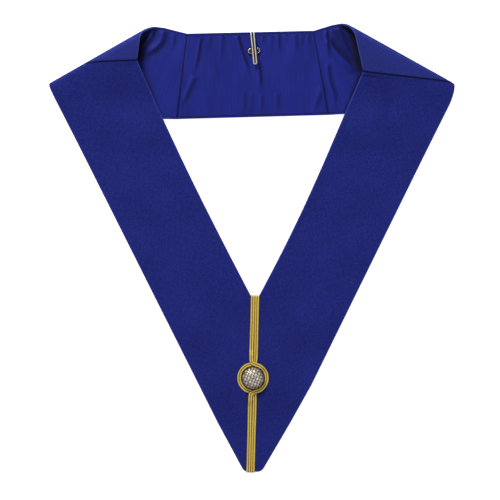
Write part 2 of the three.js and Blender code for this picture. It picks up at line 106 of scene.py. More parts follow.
def cross(a, b):
    return a.real * b.imag - a.imag * b.real


def crossing(a, b, c, d):
    return a + (b - a) * cross(c - a, d - c) / cross(b - a, d - c)


def mix(a, b, share):
    return a + (b - a) * share


def edges(corners):
    """Each corner of an outline with the one after it, round to the first."""
    return list(zip(corners, [*corners[1:], corners[0]]))


def twice_area(corners):
    return sum(cross(p, q) for p, q in edges(corners))


def smooth(value, start, end):
    share = np.clip((value - start) / (end - start), 0, 1)
    return share * share * (3 - 2 * share)


def bell(value):
    return np.exp(-(value**2))


def plane(places):
    return places[:, 0] + 1j * places[:, 1]


def plan_of(side):
    """The corners of one side's pieces as they lie, with X outward from the middle of the back."""
    plan = {"back_top": complex(BACK / 2, side["rise"] * BACK)}
    drop = STRIP * side["back"] / math.cos(math.radians(side["back_lean"]))
    plan["back_bottom"] = step(plan["back_top"], side["back_lean"] - 90, drop)
    plan["lower_bend"] = step(plan["back_bottom"], side["lower_slope"], LOWER_RUN)
    plan["fold_neck"] = step(plan["back_top"], side["neck_slope"], SHOULDER_RUN * side["run"])
    plan["fold_corner"] = step(plan["fold_neck"], -side["fold_slope"], FOLD * side["fold"])
    slope = side["panel_slope"]
    plan["knee"] = step(plan["fold_corner"], 180 + slope, KNEE)
    plan["inner_start"] = step(plan["fold_corner"], 90 + slope, STRIP)
    plan["inner_end"] = step(plan["inner_start"], 180 + slope, KNEE)
    plan["lower"] = step(plan["knee"], 180 + slope - side["knee_turn"], STRIP)
    seam_foot = mix(plan["fold_neck"], plan["fold_corner"], side["seam_along"])
    plan["seam_start"] = step(seam_foot, -side["fold_slope"] - 90, STRIP * side["seam_deep"])
    return plan


def across(point, mirror):
    return complex(point.real * mirror, point.imag)


def centre_of(left, right):
    """The notch, and the two corners of the flat end of the point with the seam between them."""
    notch = crossing(across(left["inner_start"], -1), across(left["inner_end"], -1),
                     right["inner_start"], right["inner_end"])

    def spread(y):
        level = (1j * y, 1 + 1j * y)
        return [crossing(plan["knee"], plan["lower"], *level).real for plan in (left, right)]

    start = left["knee"].imag
    slope = sum(spread(start)) - sum(spread(start - 1))
    point_y = start - (sum(spread(start)) - POINT_WIDTH) / slope
    left_x, right_x = spread(point_y)
    corners = [complex(-left_x, point_y), complex(right_x, point_y)]
    return {"notch": notch, "point": corners, "seam_end": mix(*corners, POINT_SEAM)}


class Roll:
    """The cloth of one side rolled over its shoulder fold. s runs along the fold from the neck, and
    u is the cloth's own distance from the fold: under the fold positive, above it negative."""

    def __init__(self, side, plan):
        self.side, self.plan = side, plan
        self.length = FOLD * side["fold"]
        self.along = heading(-side["fold_slope"])
        self.inward = -1j * self.along
        self.sign = -side["mirror"]
        ends = list(zip(ROLL_REACH, ROLL_HEIGHT))
        quarters = [math.pi / 2 * math.sqrt((r**2 + (h / 2) ** 2) / 2) for r, h in ends]
        self.spares = [quarter - reach for quarter, reach in zip(quarters, ROLL_REACH)]
        self.bend = quarters[0]

    def size(self, s):
        return mix(*ROLL_HEIGHT, s / self.length), mix(*ROLL_REACH, s / self.length)

    def spare(self, s):
        return mix(*self.spares, s / self.length)

    def upper_height(self, s, distance):
        share = np.clip(s / self.length, 0, 1)
        lap = STACK + LAP_CLEARANCE + PANEL
        start, end = STRIP * mix(*LAP_START, share), STRIP * mix(*LAP_END, share)
        height, reach = self.size(s)
        from_roll = (height - lap) * (1 - smooth(distance, reach, start))
        from_lap = (lap - PANEL) * (1 - smooth(distance, end, end + SETTLE))
        return PANEL + from_lap + from_roll

    def dent_depth(self, s, distance):
        depth = 0 * s
        for dent in DENTS:
            if dent["side"] == self.side["name"]:
                away = s - dent["along"] * self.length + 1j * (distance - dent["deep"] * STRIP)
                away = away * heading(-dent["turn"]) / STRIP
                far = (away.real / dent["length"]) ** 2 + (away.imag / dent["width"]) ** 2
                depth = depth + dent["depth"] * STRIP * np.exp(-far)
        return depth

    def surface(self, s, u):
        height, reach = self.size(s)
        quarter = reach + self.spare(s)
        turned = math.pi / 2 * np.clip(u / quarter, -1, 1)
        bent = np.abs(u) < quarter
        distance = np.where(bent, reach * (1 - np.cos(turned)), reach + np.abs(u) - quarter)
        flat = np.where(u > 0, 0, self.upper_height(s, distance) - self.dent_depth(s, distance))
        z = np.where(bent, height / 2 * (1 - np.sin(turned)), flat)
        place = self.plan["fold_neck"] + self.along * s + self.inward * distance
        return np.stack([place.real * self.side["mirror"], place.imag, z], axis=-1)

    def unfold(self, point, layer):
        off = (point - self.plan["fold_neck"]) / self.along
        return complex(off.real, layer * (-off.imag + self.spare(off.real)))


class Table:
    """Cloth that lies flat, with its own X and Y."""

    sign = 1
    bend = 0

    def surface(self, s, u):
        return np.stack([s, u, 0 * s], axis=-1)


def inset(corners, margins):
    """Moves each edge of an outline in by its own margin. Edge i runs from corner i to the next."""
    turn = math.copysign(1, twice_area(corners))
    lines = []
    for (p, q), margin in zip(edges(corners), margins):
        normal = 1j * turn * (q - p) / abs(q - p) * margin
        lines.append((p + normal, q + normal))
    moved = []
    for before, after in zip([lines[-1], *lines], lines):
        bend = cross(before[1] - before[0], after[1] - after[0])
        straight = abs(bend) < 1e-4 * abs(before[1] - before[0]) * abs(after[1] - after[0])
        moved.append(after[0] if straight else crossing(*before, *after))
    return moved


def outlines_of(roll, centre):
    """The cloth of one side as it is cut, with the kind of each edge: turned in, or a seam."""
    side, plan = roll.side, roll.plan
    seam_start = roll.unfold(plan["seam_start"], -1)
    corner, knee = roll.unfold(plan["fold_corner"], -1), roll.unfold(plan["knee"], -1)
    ease = side["ease"] * FOLD
    slope = (knee - corner).real / (knee - corner).imag
    edge = []
    for share in [1 + STRIP / ease, *np.linspace(1, -1, 17)]:
        cut = side["cut"] * FOLD * max(0, 1 - abs(share)) ** 2
        edge.append(complex(roll.length + slope * share * ease - cut, share * ease))
    for a, b in zip(edge, edge[1:]):
        seam_corner = crossing(seam_start, complex(roll.length * side["seam_end"], 0), a, b)
        if a.imag >= seam_corner.imag >= b.imag:
            break
    tip = complex(side["tip"] * FOLD, -TIP_UP * roll.spare(0))
    below = ("fold_neck", "back_top", "back_bottom", "lower_bend")
    shoulder = [seam_start, tip, *[roll.unfold(plan[name], 1) for name in below], seam_corner]
    shoulder_kinds = ["turned", "turned", "turned", "seam", "turned", "turned", "seam"]
    half = SEAM / 2
    lining_margins = [HEM, HEM, HEM, half - LINING_SHIFT, HEM, HEM, half]

    def own(point):
        return roll.unfold(across(point, side["mirror"]), -1)

    point, seam_end = own(centre["point"][side["mirror"] > 0]), own(centre["seam_end"])
    low = mix(knee, point, POINT_BEND)
    point = mix(point, seam_end, side["point_in"] / abs(point - seam_end))
    start = mix(point, low, POINT_ROUND / abs(point - low))
    flat = mix(point, seam_end, POINT_ROUND / abs(point - seam_end))
    rounded = [mix(mix(start, point, t), mix(point, flat, t), t) for t in np.linspace(0, 1, 8)]
    eased = [p for p in edge if p.imag < seam_corner.imag - half]
    notch = own(centre["notch"])
    straight = [seam_start, seam_corner, *eased, knee, low, *rounded, seam_end, notch]
    kinds = ["seam", *["turned"] * (len(straight) - 3), "seam", "turned"]
    panel = inset(straight, [half if kind == "seam" else 0 for kind in kinds])
    skew = math.log(0.5) / math.log(side["bow_peak"])
    for i in range(BOW_POINTS - 1, 0, -1):
        bow = side["bow"] * STRIP * math.sin(math.pi * (i / BOW_POINTS) ** skew)
        panel.append(mix(panel[0], panel[len(straight) - 1], i / BOW_POINTS) + bow)
        kinds.append("turned")
    return {
        "panel": (panel, kinds),
        "shoulder": (inset(shoulder, [half * (kind == "seam") for kind in shoulder_kinds]),
                     shoulder_kinds),
        "lining": (inset(shoulder, lining_margins), shoulder_kinds),
        "inner_edge": [*panel[len(straight) - 1:], panel[0]],
        "neck_edge": [mix(seam_start, tip, t) for t in np.linspace(0, 1, 12)],
    }


def finer(corners, kinds, margin, pitch):
    """The outline with points along its longer edges too, so that they follow a bent surface."""
    fine, fine_kinds = [], []
    for (p, q), kind in zip(edges(corners), kinds):
        length = abs(q - p)
        spare = length - 2 * margin
        far = []
        if spare > 0:
            far = np.linspace(margin, length - margin, math.ceil(spare / pitch) + 1)
        fine += [p, *[mix(p, q, distance / length) for distance in far]]
        fine_kinds += [kind] * (1 + len(far))
    return fine, fine_kinds


def edge_distance(points, corners, kinds, wanted):
    """How far each point lies from the nearest edge of one kind."""
    nearest = np.full(len(points), 1e3)
    for (p, q), kind in zip(edges(corners), kinds):
        if kind == wanted:
            share = np.clip(((points - p) * (q - p).conjugate()).real / abs(q - p) ** 2, 0, 1)
            nearest = np.minimum(nearest, np.abs(points - p - share * (q - p)))
    return nearest


def inside(points, corners):
    odd = np.zeros(len(points), bool)
    for p, q in edges(corners):
        spans = (points.imag < p.imag) != (points.imag < q.imag)
        reach = p.real + (points.imag - p.imag) * (q.real - p.real) / (q.imag - p.imag or 1)
        odd ^= spans & (points.real < reach)
    return odd


def turned_edge(distance, radius):
    """How far the face of the cloth has fallen away at a distance in from a turned edge."""
    share = np.clip(1 - distance / radius, 0, 1)
    return radius * (1 - np.sqrt(1 - share**2))


def laid(lay, s, u):
    """Where points of the cut lie, and which way the face of the cloth looks there."""
    probe = 0.4
    across_s = lay.surface(s + probe, u) - lay.surface(s - probe, u)
    across_u = lay.surface(s, u + probe) - lay.surface(s, u - probe)
    normal = np.cross(across_s, across_u) * lay.sign
    return lay.surface(s, u), normal / np.linalg.norm(normal, axis=1)[:, None]


def closed_piece(name, points, faces):
    """A smooth piece from points in millimetres, with all its faces turned outward."""
    mesh = bpy.data.meshes.new(name)
    mesh.from_pydata((np.array(points) * 0.001).tolist(), [], faces)
    work = bmesh.new()
    work.from_mesh(mesh)
    bmesh.ops.recalc_face_normals(work, faces=work.faces)
    work.to_mesh(mesh)
    work.free()
    mesh.shade_smooth()
    piece = bpy.data.objects.new(name, mesh)
    bpy.context.scene.collection.objects.link(piece)
    return piece


def mark(mesh, flat, marks):
    """Gives the points their places on the flat cloth, if it has any, and their named numbers."""
    if len(flat):
        corners = np.empty(len(mesh.loops), int)
        mesh.loops.foreach_get("vertex_index", corners)
        mesh.uv_layers.new(name="cloth").data.foreach_set("uv", (flat[corners] * 0.001).ravel())
    for label, values in marks.items():
        mesh.attributes.new(label, "FLOAT", "POINT").data.foreach_set("value", values)


def cut_flat(corners, kinds, radii, pitch, bend, steps):
    """The points and faces of flat cloth, in finer rows beside its edges and over the fold."""
    flat, ties = [], []
    for share in (0, *steps):
        count = len(flat)
        flat += inset(corners, [share * radii[kind] for kind in kinds]) if share else corners
        ties += edges(range(count, len(flat)))
    reals, imags = [p.real for p in corners], [p.imag for p in corners]
    rows = [u for u in np.arange(min(imags), max(imags), pitch) if abs(u) > bend + pitch / 2]
    rows += list(np.arange(-bend, bend + 0.1, ROLL_PITCH)) if bend else []
    columns = np.arange(min(reals) + 0.37, max(reals), pitch)
    grid = np.array([complex(s, u) for u in rows for s in columns])
    grid = grid[inside(grid, corners)]
    past = [edge_distance(grid, corners, kinds, kind) - steps[-1] * radii[kind] for kind in radii]
    flat += list(grid[np.minimum(*past) > 0.45 * pitch])
    cut = geometry.delaunay_2d_cdt([Vector((p.real, p.imag)) for p in flat], ties,
                                   [list(range(len(corners)))], 1, 1e-5)
    return np.array([complex(*p) for p in cut[0]]), cut[2]


def sheet_faces(flat_faces, other):
    """The faces of a sheet's two sides, and the walls that close it along its outline."""
    uses, faces = {}, []
    for face in flat_faces:
        faces += [list(face), [int(other[v]) for v in reversed(face)]]
        for a, b in edges(face):
            uses[(b, a)] = uses.get((b, a), 0) - 1
            uses[(a, b)] = uses.get((a, b), 0) + 1
    for (a, b), count in uses.items():
        if count == 1:
            wall = [b, a, int(other[a]), int(other[b])]
            wall = [v for i, v in enumerate(wall) if v not in wall[:i]]
            if len(wall) > 2:
                faces.append(wall)
    return faces


def lay_cloth(name, lay, outline, sides, radii, pitch, grain, steps=(0.06, 0.22, 0.5, 1, 1.6)):
    """Cuts the outline from flat cloth, and lays it as a closed sheet with rounded edges."""
    corners, kinds = outline
    if lay.bend:
        corners, kinds = finer(corners, kinds, 2 * radii["turned"], pitch)
    points, flat_faces = cut_flat(corners, kinds, radii, pitch, lay.bend, steps)
    s, u = points.real, points.imag
    away = {kind: edge_distance(points, corners, kinds, kind) for kind in radii}
    place, normal = laid(lay, s, u)
    outer, inner, marks = sides(place, s, u, away)
    places = np.concatenate([place + normal * outer[:, None], place + normal * inner[:, None]])
    count = len(points)
    other = np.arange(count) + count * (np.abs(outer - inner) >= 1e-4)
    faces = sheet_faces(flat_faces, other)
    used = np.unique(np.concatenate(faces))
    number = np.zeros(2 * count, int)
    number[used] = np.arange(len(used))
    piece = closed_piece(name, places[used], [number[face].tolist() for face in faces])
    thread = points * heading(-grain)
    flat = np.stack([thread.real, thread.imag], axis=1)
    marks = {"from_edge": away["turned"], "from_seam": away["seam"], **marks}
    own = used % count
    mark(piece.data, flat[own], {label: values[own] for label, values in marks.items()})
    cut_size = [float(size) * 0.001 for size in np.ptp(flat, axis=0)]
    return piece, cut_size, abs(twice_area(corners)) / 2e6


plans = [plan_of(side) for side in SIDES]
centre = centre_of(*plans)
rolls = [Roll(side, plan) for side, plan in zip(SIDES, plans)]
outlines = [outlines_of(roll, centre) for roll in rolls]
RING_SHARE = 0.443
ring_centre = mix(centre["notch"], centre["seam_end"], RING_SHARE)
button_low, button_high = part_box("button")
middle = (button_low + button_high) * 500
shift = complex(middle.x, middle.y) - ring_centre


def settle(piece):
    """Moves a piece from its own plan to its place in the whole collar."""
    piece.data.transform(Matrix.Translation((shift.real * 0.001, shift.imag * 0.001, 0)))
    return piece


# Face cloth: fine wool and silk cloth in dark blue over a stiffener, with its turned edges pressed
# flat. It is close woven and nearly matt, and paler where an edge is pressed over: partly as wear,
# partly as a painted highlight.
class Tone:
    """A number that changes over a surface. Sums on it add their maths to its finish."""

    def __init__(self, finish, socket):
        self.finish, self.socket = finish, socket

    def maths(self, operation, *others):
        return self.finish.node("ShaderNodeMath", {"operation": operation}, dict(enumerate(others)))

    def __add__(self, other):
        return self.maths("ADD", self, other)

    __radd__ = __add__

    def __mul__(self, other):
        return self.maths("MULTIPLY", self, other)

    __rmul__ = __mul__

    def __sub__(self, other):
        return self.maths("SUBTRACT", self, other)

    def __rsub__(self, other):
        return self.maths("SUBTRACT", other, self)

    def wave(self, length, phase=0.0):
        return self.maths("SINE", self * (2 * math.pi / length) + phase)

    def within(self, low, high):
        settings, range_of = {"clamp": True}, {1: low, 2: high, 3: 0.0, 4: 1.0}
        return self.finish.node("ShaderNodeMapRange", settings, {0: self, **range_of})


class Finish:
    """The nodes of one material, with what never changes set on its own sockets."""

    def __init__(self, name, constants):
        self.material = bpy.data.materials.new(name)
        self.material.use_nodes = True
        self.tree = self.material.node_tree
        self.shader = self.tree.nodes["Principled BSDF"]
        for socket, value in constants.items():
            self.shader.inputs[socket].default_value = value

    def node(self, kind, settings, inputs, output=0):
        node = self.tree.nodes.new(kind)
        for name, value in settings.items():
            setattr(node, name, value)
        for socket, value in inputs.items():
            if isinstance(value, Tone):
                self.tree.links.new(value.socket, node.inputs[socket])
            else:
                node.inputs[socket].default_value = value
        return Tone(self, node.outputs[output])

    def stretched(self, vector, shares):
        return self.node("ShaderNodeVectorMath", {"operation": "MULTIPLY"}, {0: vector, 1: shares})

    def cloth_place(self):
        uv = self.node("ShaderNodeUVMap", {"uv_map": "cloth"}, {})
        return self.stretched(uv, (1000, 1000, 1000))

    def object_place(self):
        return self.node("ShaderNodeTexCoord", {}, {}, 3)

    def parts(self, vector):
        return [self.node("ShaderNodeSeparateXYZ", {}, {0: vector}, axis) for axis in (0, 1)]

    def noise(self, vector, size, detail=2.0, stretch=(1, 1, 1)):
        scaled = self.stretched(vector, tuple(share / size for share in stretch))
        inputs = {"Vector": scaled, "Scale": 1.0, "Detail": detail}
        return self.node("ShaderNodeTexNoise", {}, inputs)

    def stored(self, name):
        return self.node("ShaderNodeAttribute", {"attribute_name": name}, {}, 2)

    def blend(self, share, first, second):
        return self.node("ShaderNodeMix", {"data_type": "RGBA"}, {0: share, 6: first, 7: second}, 2)

    def bump(self, height, distance, strength):
        inputs = {"Strength": strength, "Distance": distance, "Height": height}
        return self.node("ShaderNodeBump", {}, inputs)

    def use(self, **links):
        for name, tone in links.items():
            self.tree.links.new(tone.socket, self.shader.inputs[name.replace("_", " ").title()])
        return self.material


def dye(red, green, blue):
    """A colour as it looks, from 0 to 255, turned into light."""
    shares = [value / 255 for value in (red, green, blue)]
    return (*[v / 12.92 if v <= 0.04045 else ((v + 0.055) / 1.055) ** 2.4 for v in shares], 1.0)


FACE_DARK = dye(18, 23, 90)
FACE_LIGHT = dye(42, 51, 144)
# Paler colour for pressed edges, partly wear and partly a painted highlight, and for painted light
# on the fold tops.
FACE_EDGE_WEAR_AND_LIGHT = dye(76, 88, 178)
FACE_SHADE = dye(5, 6, 30)
# Painted light for the turned-in hem, against the shade in its groove.
FACE_HEM_PAINTED_LIGHT = dye(28, 36, 132)
FACE_THREAD = 0.62


def face_finish():
    finish = Finish("dark_blue_face_cloth", {
        "Roughness": 0.85, "Sheen Weight": 0.06, "Sheen Roughness": 0.45,
        "Sheen Tint": dye(90, 105, 225), "Specular IOR Level": 0.12,
    })
    place = finish.cloth_place()
    along, over = finish.parts(place)
    weave = along.wave(FACE_THREAD) * over.wave(FACE_THREAD)
    fleck = finish.noise(place, 1.5, 3.0)
    slub = finish.noise(place, 0.95, 2.0, (0.2, 1, 1)) + finish.noise(place, 0.95, 2.0, (1, 0.2, 1))
    cloud = finish.noise(place, 46, 2.0)
    share = fleck * 0.8 + slub * 0.95 + cloud * 0.5 + weave * 0.1 - 1.06
    colour = finish.blend(share.within(0, 1), FACE_DARK, FACE_LIGHT)
    # Pressed edges paler, partly as wear and partly as a painted highlight; the upper layer of each
    # shoulder fold gets painted light.
    wear_and_painted_light = 1 - finish.stored("from_edge").within(0.3, 1.7)
    colour = finish.blend(wear_and_painted_light * 0.45 + finish.stored("lit") * 0.14, colour, FACE_EDGE_WEAR_AND_LIGHT)
    # Painted light: the turned-in hem is painted lighter, against the shade in its groove.
    shade = finish.stored("shade")
    colour = finish.blend((0 - shade).within(0, 1), colour, FACE_HEM_PAINTED_LIGHT)
    # Painted shade along the seams, in a second line beside the ridge of a doubled seam, and where a
    # folded layer keeps the light off.
    from_seam = finish.stored("from_seam")
    seam_shade = (1 - from_seam.within(0.4, 1.8)) * 0.9
    second = from_seam.within(3.1, 4.0) * (1 - from_seam.within(4.4, 5.6))
    dark = seam_shade + second * finish.stored("doubled") * 0.8 + shade
    colour = finish.blend(dark.within(0, 1), colour, FACE_SHADE)
    relief = weave * 0.7 + fleck * 0.5 + slub * 0.5
    return finish.use(base_color=colour, normal=finish.bump(relief, 0.00012, 0.6))


face_cloth = face_finish()
PRESSED = 0.14
PRESSED_WIDTH = 3.4
UNEVEN = 0.11
SEAM_ROUND = 0.9
PANEL_SEAM_UNDER = 0.25
SEAM_RIDGE = {"left": 0.4, "right": 0.9}
RIDGE = 0.4
DOUBLED_RUN = 34
PANEL_STEPS = (0.06, 0.22, 0.5, 1, 1.6, 2.4, 3.4)


def ripple(x, y, size, seed):
    """The slight unevenness of real cloth, from a few crossed waves."""
    height = 0 * x
    for turn in range(5):
        angle = seed + 1.3 * turn
        length = size * (0.7 + 0.23 * turn)
        far = x * math.cos(angle) + y * math.sin(angle)
        height = height + np.sin(far * 2 * math.pi / length + 2.1 * turn + seed)
    return height / 5


def rounded_edges(away, turned_radius, seam_radius):
    return np.maximum(turned_edge(away["turned"], turned_radius),
                      turned_edge(away["seam"], seam_radius))


def panel_sides(seed, seam_ridge, seam_start):
    """How far both sides of a front panel lie from its laid face, and what its colours need."""
    def sides(place, s, u, away):
        turned = away["turned"]
        pressed = smooth(turned, 0.3, 1.3) * (1 - smooth(turned, PRESSED_WIDTH - 0.8, PRESSED_WIDTH))
        uneven = UNEVEN * ripple(place[:, 0], place[:, 1], 58, seed) * smooth(turned, 1, 14)
        doubled = seam_ridge * bell(abs(s + 1j * u - seam_start) / DOUBLED_RUN)
        ridge = RIDGE * doubled * bell((away["seam"] - 2.2) / 1.3)
        proud = (PRESSED * pressed + uneven + ridge) * smooth(-u, 0, 6)
        fallen = rounded_edges(away, PANEL / 2, SEAM_ROUND)
        under = rounded_edges(away, PANEL / 2, PANEL_SEAM_UNDER)
        return fallen - proud, PANEL - under, {"doubled": doubled}

    return sides


for roll, outline, plan in zip(rolls, outlines, plans):
    side = roll.side
    name = side["name"]
    edge = roll.unfold(plan["knee"], -1) - roll.unfold(plan["fold_corner"], -1)
    grain = math.degrees(cmath.phase(edge))
    panel, cut_size, area = lay_cloth(
        f"front_panel_{name}_cloth", roll, outline["panel"],
        panel_sides(0.4 + side["mirror"], SEAM_RIDGE[name], outline["panel"][0][0]),
        {"turned": PANEL / 2, "seam": SEAM_ROUND}, 3.2, grain, PANEL_STEPS)
    settle(panel)
    panel.data.materials.append(face_cloth)
    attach(panel, "root")
    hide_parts(f"front_panel_{name}")


# Outer cloth of the shoulders and of the back: the same cloth on a thinner stiffener, mitred where
# the strips meet. Along the neck and along the lower edge it is turned in over the lining's edge.
HEM_LIFT = 0.95
HEM_ROUND = 0.55
HEM_STEPS = (0.04, 0.1, 0.21, 0.45, 0.95, 1, 1.5)
BACK_SEAM = 0.6
BACK_SEAM_UNDER = 0.1
UNDERSIDE = (4.5, 6.5)
FOLD_SHADOW = {"left": 4.6, "right": 6.5}
FOLD_SHADES = ((1, 0.4), (2.4, 0.72))
EDGE_SHADOW = (5.0, 1.6)
EDGE_SHADE = 0.7


def smooth_path(knots, spacing):
    """An even path through the knots, and how far along it each of its points is."""
    knots = [2 * np.array(knots[0]) - knots[1], *knots, 2 * np.array(knots[-1]) - knots[-2]]
    knots = np.array(knots, float)
    t = np.linspace(0, 1, 40, endpoint=False)[:, None]
    runs = []
    for a, b, c, d in zip(knots, knots[1:], knots[2:], knots[3:]):
        bend, swing = 2 * a - 5 * b + 4 * c - d, 3 * b - a - 3 * c + d
        runs.append(b + 0.5 * ((c - a) * t + bend * t**2 + swing * t**3))
    path = np.concatenate([*runs, knots[-2:-1]])
    travelled = np.concatenate([[0], np.cumsum(np.linalg.norm(np.diff(path, axis=0), axis=1))])
    even = np.linspace(0, travelled[-1], round(travelled[-1] / spacing) + 1)
    axes = range(path.shape[1])
    return np.stack([np.interp(even, travelled, path[:, axis]) for axis in axes], axis=1), even


def beside(at, path):
    """How far each point lies to the left of a path, and the share of the path it has passed."""
    path = plane(path)
    near = np.abs(at[:, None] - path[None, :]).argmin(axis=1)
    ahead = np.gradient(path)
    ahead /= np.abs(ahead)
    return ((at - path[near]) / ahead[near]).imag, near / (len(path) - 1)


def underneath(place):
    """1 on the layer that lies on the table, fading up the inside of the fold."""
    return 1 - smooth(place[:, 2], *UNDERSIDE)


def covered(place):
    """Painted shade on the inside of the cloth below, from the layer folded over it and a panel's
    edge.
    """
    at = plane(place)
    shade = np.zeros(len(at))
    for roll, outline in zip(rolls, outlines):
        lines = []
        for name in ("neck_edge", "inner_edge"):
            cut = np.array(outline[name])
            above = roll.surface(cut.real, cut.imag)
            lines.append(beside(at, smooth_path(above[:, :2], 1.0)[0]))
        (from_neck, past), (from_panel, down) = lines
        apart = from_neck / FOLD_SHADOW[roll.side["name"]]
        in_fold = sum(dark * bell(apart / spread) for spread, dark in FOLD_SHADES)
        reach = mix(EDGE_SHADOW[1], EDGE_SHADOW[0], smooth(down, 0.8, 1))
        by_panel = EDGE_SHADE * bell(from_panel / reach) * smooth(down, 0.7, 0.85)
        shade = np.maximum(shade, np.maximum(in_fold * smooth(past, 0, 0.04), by_panel))
    return np.clip(shade, 0, 1) * underneath(place)


def outer_sides(place, s, u, away):
    below = underneath(place)
    folded_in = HEM_LIFT * (1 - smooth(away["turned"], HEM * 0.95, HEM))
    hem = (1 - smooth(away["turned"], HEM - 0.2, HEM)) * below
    # Painted shade where a folded layer keeps the light off the hem, painted light on the hem, and
    # painted light on the fold's upper layer.
    shade = 0.9 * covered(place) * (1 - smooth(away["turned"], HEM, 1.5 * HEM))
    marks = {"shade": shade - 0.8 * hem * (1 - shade), "lit": smooth(-u, 0, 12) * (1 - below)}
    fallen = rounded_edges(away, HEM_ROUND, BACK_SEAM)
    return fallen, OUTER + folded_in - rounded_edges(away, HEM_ROUND, BACK_SEAM_UNDER), marks


back_corners = [across(plans[0]["back_top"], -1), across(plans[0]["back_bottom"], -1),
                plans[1]["back_bottom"], plans[1]["back_top"]]
back_kinds = ["seam", "turned", "seam", "turned"]
back_outline = (inset(back_corners, [SEAM / 2, 0, SEAM / 2, 0]), back_kinds)
outer_jobs = [("back_neck_piece", Table(), back_outline, 0, "laid")]
back_grains = {}
for roll, outline, plan in zip(rolls, outlines, plans):
    side = roll.side["name"]
    back_grains[side] = math.degrees(cmath.phase(roll.unfold(plan["back_top"], 1)))
    outer_jobs.append((f"shoulder_piece_{side}", roll, outline["shoulder"], back_grains[side],
                       "folded"))
for node, lay, outline, grain, held in outer_jobs:
    outer, cut_size, area = lay_cloth(f"{node}_cloth", lay, outline, outer_sides,
                                      {"turned": HEM, "seam": BACK_SEAM}, 2.6, grain, HEM_STEPS)
    settle(outer)
    outer.data.materials.append(face_cloth)
    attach(outer, "root")
    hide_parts(node)


# Lining: thin soft cloth in a slightly brighter blue with a faint sheen, cut a little loose, so it
# is drawn into tucks that run down from the neck edge and into the folds of the shoulders.
LINING_THREAD = 0.42
# Each tuck's width, its height, how dark the painted shade in its hollow is, and its path in the
# whole collar's plan. Its hollow follows the path with the ridge beside it. Rows with no height are
# only painted shade, among them the shade under the neck hook and its eyelets.
TUCKS = [
    (3.0, 1.2, 0.75, [(-112, 258), (-115, 247), (-122, 237), (-130, 230)]),
    (3.4, 1.2, 0.7, [(-100, 256), (-102, 241), (-110, 231), (-122, 223), (-132, 219)]),
    (2.0, 0.6, 0.35, [(-89, 253), (-90, 240), (-91, 228)]),
    (1.7, 0.8, 0.75, [(-57, 252), (-60, 234), (-64, 213), (-68, 198)]),
    (3.0, 0.7, 0.5, [(-64, 200), (-73, 179), (-82, 160)]),
    (1.8, 0.3, 0.25, [(-48, 252), (-49, 230)]),
    (2.2, 0.3, 0.35, [(-33, 252), (-34, 215)]),
    (1.9, 0.6, 0.8, [(-16.5, 252), (-11, 231), (-4, 211), (0, 196)]),
    (2.0, 0.7, 0.8, [(9, 219), (11.5, 192), (13, 180)]),
    (1.8, 0.3, 0.35, [(14, 254), (14.5, 234)]),
    (2.0, 0.3, 0.3, [(24.5, 254), (24.5, 232)]),
    (2.2, 0.5, 0.5, [(32, 255), (34, 225)]),
    (1.8, 0.3, 0.3, [(41, 255), (41.5, 234)]),
    (2.2, 0.4, 0.45, [(52, 255), (54, 227)]),
    (1.8, 0.3, 0.3, [(59.5, 255), (60, 232)]),
    (1.8, 0.3, 0.25, [(67, 255), (68.5, 232)]),
    (1.8, 1.1, 0.95, [(88, 261), (89.5, 241), (90.5, 231), (93, 217)]),
    (2.5, 0.8, 0.6, [(90.5, 217), (93.5, 194), (98, 180), (101, 158)]),
    (3.2, 0.5, 0.4, [(86, 188), (74, 156)]),
    (4.2, 1.3, 0.85, [(91, 247), (98, 236), (106, 227), (119, 214), (133, 202)]),
    (4.2, 1.1, 0.7, [(104, 262), (109, 248), (115, 234), (123, 218)]),
    (2.4, 0.6, 0.35, [(96, 260), (97, 250), (102, 239)]),
    (2.2, 0.35, 0.35, [(-7.5, 182), (-8, 152)]),
    (2.0, 0.3, 0.3, [(1.5, 180), (1, 152)]),
    (2.2, 0.35, 0.35, [(13, 180), (13, 152)]),
    (2.6, 0.3, 0.35, [(32, 182), (32.5, 152)]),
    (7.5, 0, 0.62, [(97, 258), (104, 243), (114, 228), (127, 212)]),
    (3.2, 0, 0.85, [(-121, 256), (-124, 243), (-127, 230), (-130, 216)]),
    (3.3, 0, 0.8, [(1, 262), (2.5, 232), (5, 205)]),
    (3.0, 0, 0.8, [(-8, 230), (12, 229)]),
]
TUCK_RISE = 1.6
LINING_EDGE = 0.3
LINING_SEAM = 1.3
LINING_DARK = dye(15, 21, 100)
LINING_LIGHT = dye(33, 44, 150)
LINING_HIGHLIGHT = dye(52, 64, 176)
LINING_SHADE = dye(5, 7, 40)


def tucked(place):
    """The height of the tucks, painted shade in their hollows and painted light on their ridges."""
    at = plane(place) + shift
    height, shade, light = np.zeros((3, len(at)))
    for width, rise, dark, path in TUCKS:
        side, past = beside(at, smooth_path(path, 1.0)[0])
        side = side / width
        fade = smooth(past, 0, 0.1) * (1 - smooth(past, 0.55, 1))
        ridge, hollow = np.exp(-((side + 1.3) ** 2) / 0.8), np.exp(-(side**2) / 0.5)
        height = height + TUCK_RISE * rise * fade * (ridge - 0.5 * hollow)
        shade = np.maximum(shade, dark * fade * bell(side))
        if rise:
            light = np.maximum(light, dark * fade * np.exp(-((side + 1.7) ** 2) / 0.6))
    return height, shade, light


